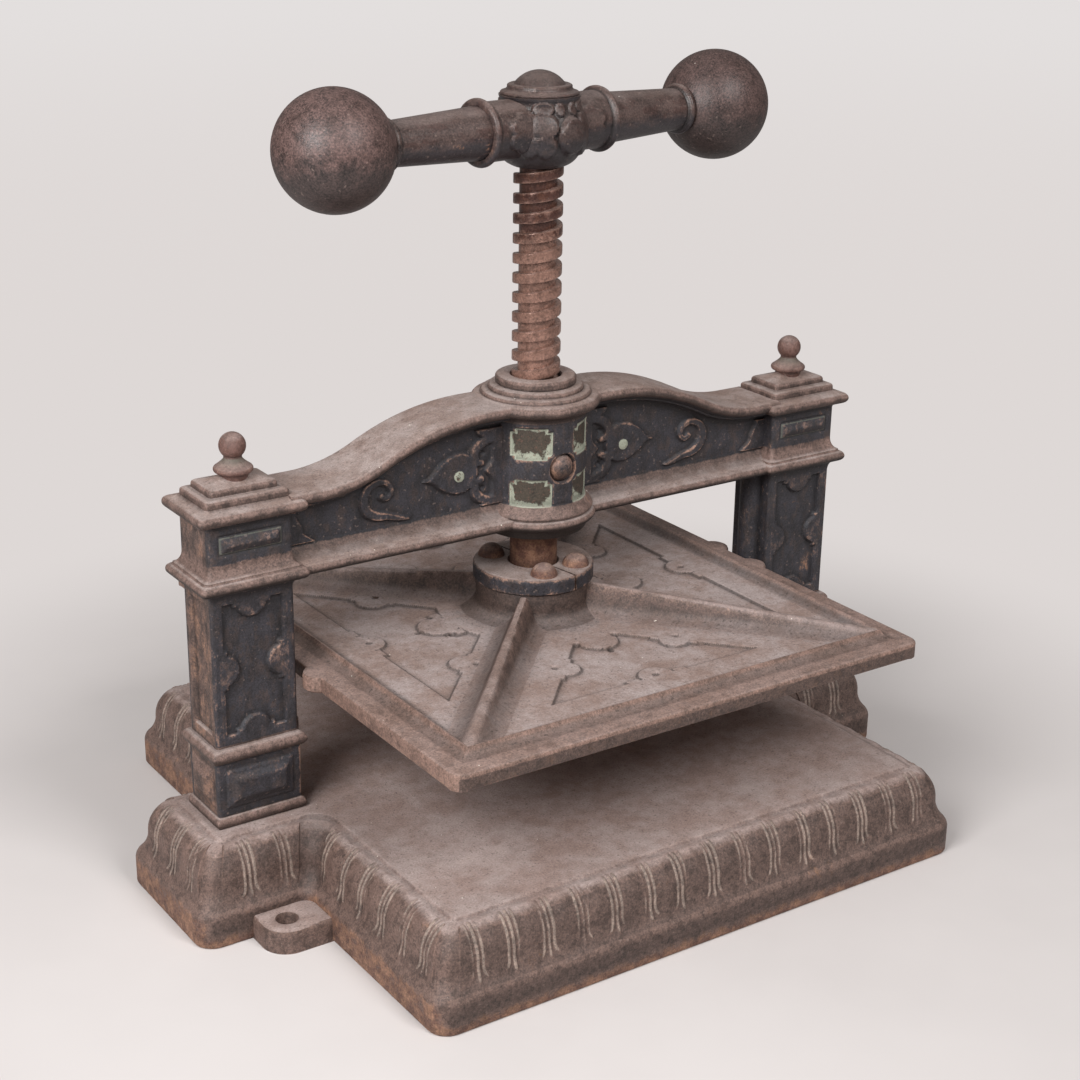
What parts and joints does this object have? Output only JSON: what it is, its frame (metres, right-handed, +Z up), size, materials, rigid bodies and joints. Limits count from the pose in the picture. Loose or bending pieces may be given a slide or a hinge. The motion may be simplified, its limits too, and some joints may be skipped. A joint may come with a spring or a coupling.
{
  "type": "copying press",
  "caption": "Iron screw copying press: cruciform base, columns, arched crosshead, square-thread screw with ball handle, and a sliding ribbed platen that presses letter books.",
  "frame": {"origin": "centre of the base's footprint, on the floor", "axes": "+X along the crosshead to the right column, -Y towards the front edge of the bed, +Z up along the screw"},
  "size_m": [0.554, 0.422, 0.5088],
  "materials": {
    "black_iron": "worn black japan over cast iron, dusty on top and rusty at the edges",
    "platen_iron": "dusty grey-brown cast iron",
    "handle_iron": "worn black-brown cast iron",
    "ball_iron": "mottled brown-grey cast iron",
    "rusty_iron": "matt red-brown rust",
    "rusty_steel": "rusted turned steel, bright where it is worn",
    "bronze": "dull bronze"
  },
  "bodies": {
    "frame": {"base": "black_iron", "left_column": "black_iron", "right_column": "black_iron", "crosshead": "black_iron", "left_tie_rod": "rusty_steel", "right_tie_rod": "rusty_steel", "rod_washers": "rusty_steel", "left_finial": "rusty_iron", "right_finial": "rusty_iron", "screw_nut": "bronze", "front_nut_screw": "rusty_iron", "rear_nut_screw": "rusty_iron"},
    "platen": {"platen": "platen_iron", "thrust_pad": "bronze", "left_collar_half": "platen_iron", "right_collar_half": "platen_iron", "collar_screws": "rusty_iron"},
    "spindle": {"press_screw": "rusty_steel", "handle_hub": "handle_iron", "hub_key": "rusty_steel", "left_arm": "handle_iron", "right_arm": "handle_iron", "left_ball": "ball_iron", "right_ball": "ball_iron", "cap_washer": "handle_iron", "cap_nut": "handle_iron"}
  },
  "joints": [
    {"name": "platen_slide", "type": "slide", "parent": "frame", "child": "platen", "axis": [0, 0, 1], "range_m": [-0.07973, 0.01482]},
    {"name": "screw_turn", "type": "hinge", "parent": "platen", "child": "spindle", "pos_m": [0, 0, 0.3], "axis": [0, 0, 1], "range_deg": [-2260, 420]}
  ],
  "couplings": [
    {"joint": "platen_slide", "follows": "screw_turn", "m_per_rad": 0.0020213}
  ]
}
